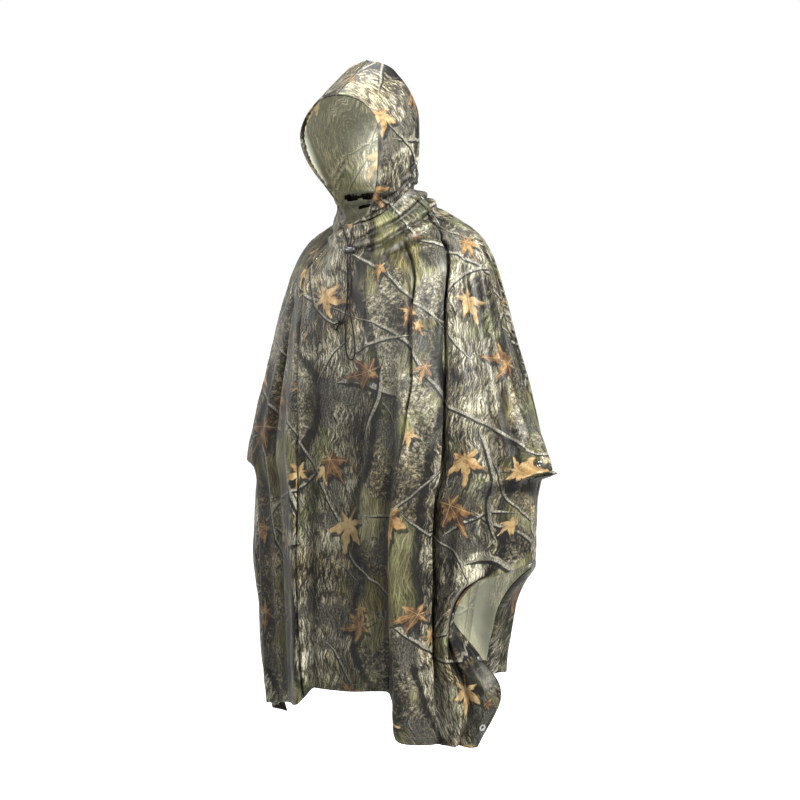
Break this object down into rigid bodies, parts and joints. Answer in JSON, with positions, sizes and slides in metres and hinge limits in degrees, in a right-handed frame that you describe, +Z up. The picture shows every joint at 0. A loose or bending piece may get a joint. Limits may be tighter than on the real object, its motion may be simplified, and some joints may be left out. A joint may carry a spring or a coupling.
{
  "type": "hooded rain poncho",
  "caption": "Hooded pullover rain poncho in a woodland print, filled out as worn, with wide cuffs, sides that open lower down and close with snaps, and a knotted hood drawcord.",
  "frame": {"origin": "on the shoulder line at the middle of the neck opening, where the garment is held by its wearer", "axes": "+Z up, the front faces -Y, the wearer's left is +X"},
  "size_m": [0.8656, 0.4355, 1.4794],
  "materials": {
    "cloth_front": "coated woven rainwear cloth with a bark, moss and leaf print, soft sheen",
    "cloth_back": "coated woven rainwear cloth with a bark, moss and leaf print, soft sheen; washed-out print inside",
    "cloth_hood_left": "coated woven rainwear cloth with the same print, washed-out print inside",
    "cloth_hood_right": "coated woven rainwear cloth with the same print, washed-out print inside",
    "cord_black": "braided round drawcord",
    "plastic_black": "moulded, slightly glossy",
    "snap_dark": "dark lacquered snap cap",
    "eyelet_metal": "bright rolled eyelet"
  },
  "bodies": {
    "root": {"front_panel": "cloth_front", "back_panel": "cloth_back", "hood_left": "cloth_hood_left", "hood_right": "cloth_hood_right", "cord_left": "cord_black", "cord_right": "cord_black", "cord_tail_left": "cord_black", "cord_tail_right": "cord_black", "cord_knot": "cord_black", "cord_lock": "plastic_black", "eyelet_front_left_corner": "eyelet_metal", "snap_front_left_upper": "snap_dark", "snap_front_left_lower": "snap_dark", "snap_front_right_middle": "snap_dark", "snap_front_right_corner": "snap_dark", "snap_back_left_middle": "snap_dark", "snap_back_left_corner": "snap_dark", "snap_back_right_middle": "snap_dark", "snap_back_right_corner": "snap_dark"}
  },
  "joints": []
}
